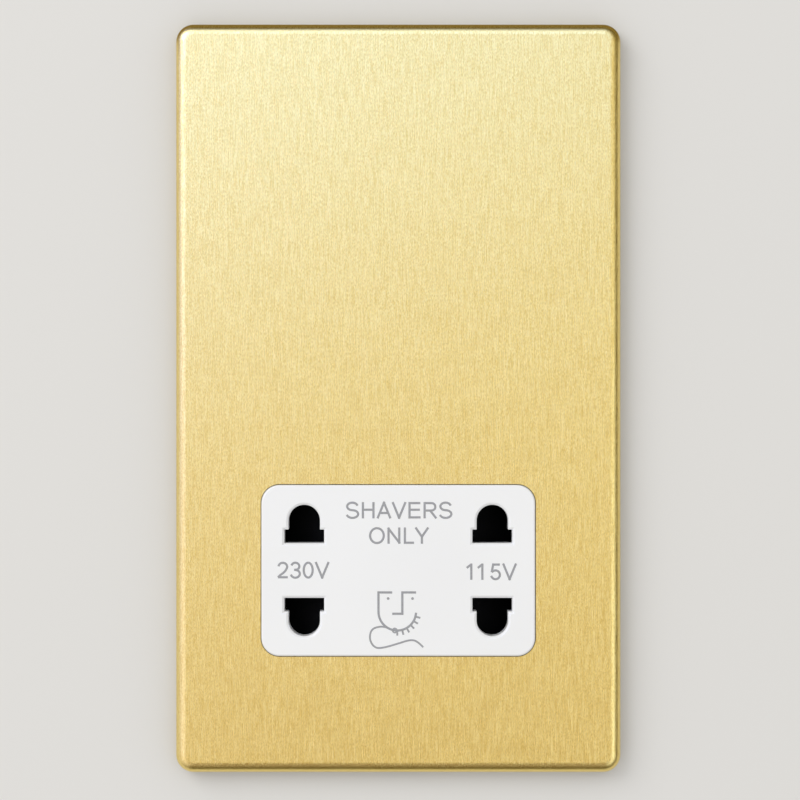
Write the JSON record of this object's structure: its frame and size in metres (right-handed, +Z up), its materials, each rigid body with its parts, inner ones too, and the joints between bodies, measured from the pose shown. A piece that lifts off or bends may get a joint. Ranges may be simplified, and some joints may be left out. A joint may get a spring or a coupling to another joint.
{
  "type": "shaver socket",
  "caption": "Wall-mounted dual voltage shaver socket with a brushed brass clip-on plate, a white outlet insert, interlocked shutters and a built-in isolating transformer.",
  "frame": {"origin": "on the wall plane, midway between the two box fixing holes, which is also the plate's centre", "axes": "+X right and +Z up as seen from the front, +Y into the wall; the plate faces -Y"},
  "size_m": [0.088, 0.0442, 0.148],
  "materials": {
    "plate_brass": "fine vertical brushed satin brass with a clear lacquer",
    "frame_plastic": "fine moulded satin",
    "insert_plastic": "smooth white moulded gloss",
    "shutter_plastic": "slippery moulded satin",
    "spring_steel": "bright drawn wire",
    "carrier_plastic": "heat resistant moulding, plain satin",
    "contact_bronze": "rolled strip, bare",
    "housing_plastic": "fine spark-eroded moulding texture",
    "screw_steel": "bright zinc plate",
    "core_steel": "varnished stack of sheets",
    "bracket_steel": "zinc plated strip",
    "bobbin_plastic": "natural nylon",
    "pin_tin": "tinned",
    "winding_wire": "enamelled copper wire",
    "winding_tape": "thin glossy film tape",
    "cutout_case": "plain case",
    "block_plastic": "plain satin moulding",
    "terminal_brass": "bare sawn and drilled brass",
    "strap_brass": "rolled strip, bare",
    "lead_brown": "soft insulation",
    "lead_blue": "soft insulation",
    "lead_white": "soft insulation",
    "lead_red": "soft insulation",
    "lead_yellow": "soft insulation"
  },
  "bodies": {
    "socket_body": {"front_plate": "plate_brass", "mounting_frame": "frame_plastic", "socket_insert": "insert_plastic", "shutter_spring_left": "spring_steel", "shutter_spring_right": "spring_steel", "contact_carrier": "carrier_plastic", "contact_230": "contact_bronze", "contact_115": "contact_bronze", "contact_common": "contact_bronze", "contact_cover": "carrier_plastic", "switch_strip_supply": "contact_bronze", "switch_strip_load": "contact_bronze", "rear_housing": "housing_plastic", "housing_screws": "screw_steel", "transformer_core": "core_steel", "core_bracket": "bracket_steel", "bobbin": "bobbin_plastic", "bobbin_pins": "pin_tin", "primary_winding": "winding_wire", "secondary_winding": "winding_wire", "primary_tape": "winding_tape", "secondary_tape": "winding_tape", "thermal_cutout": "cutout_case", "terminal_block": "block_plastic", "terminal_live": "terminal_brass", "terminal_neutral": "terminal_brass", "terminal_earth": "terminal_brass", "terminal_screws": "screw_steel", "earth_strap": "strap_brass", "lead_live": "lead_brown", "lead_neutral": "lead_blue", "lead_switched": "lead_brown", "lead_common": "lead_white", "lead_230": "lead_red", "lead_115": "lead_yellow"},
    "shutter": {"shutter_slider": "shutter_plastic", "switch_bridge": "contact_bronze"}
  },
  "joints": [
    {"name": "shutter_slide", "type": "slide", "parent": "socket_body", "child": "shutter", "axis": [1, 0, 0], "range_m": [-0.0082, 0.0082], "stiffness_N_per_m": 200, "deforming": ["shutter_spring_left", "shutter_spring_right"]}
  ]
}
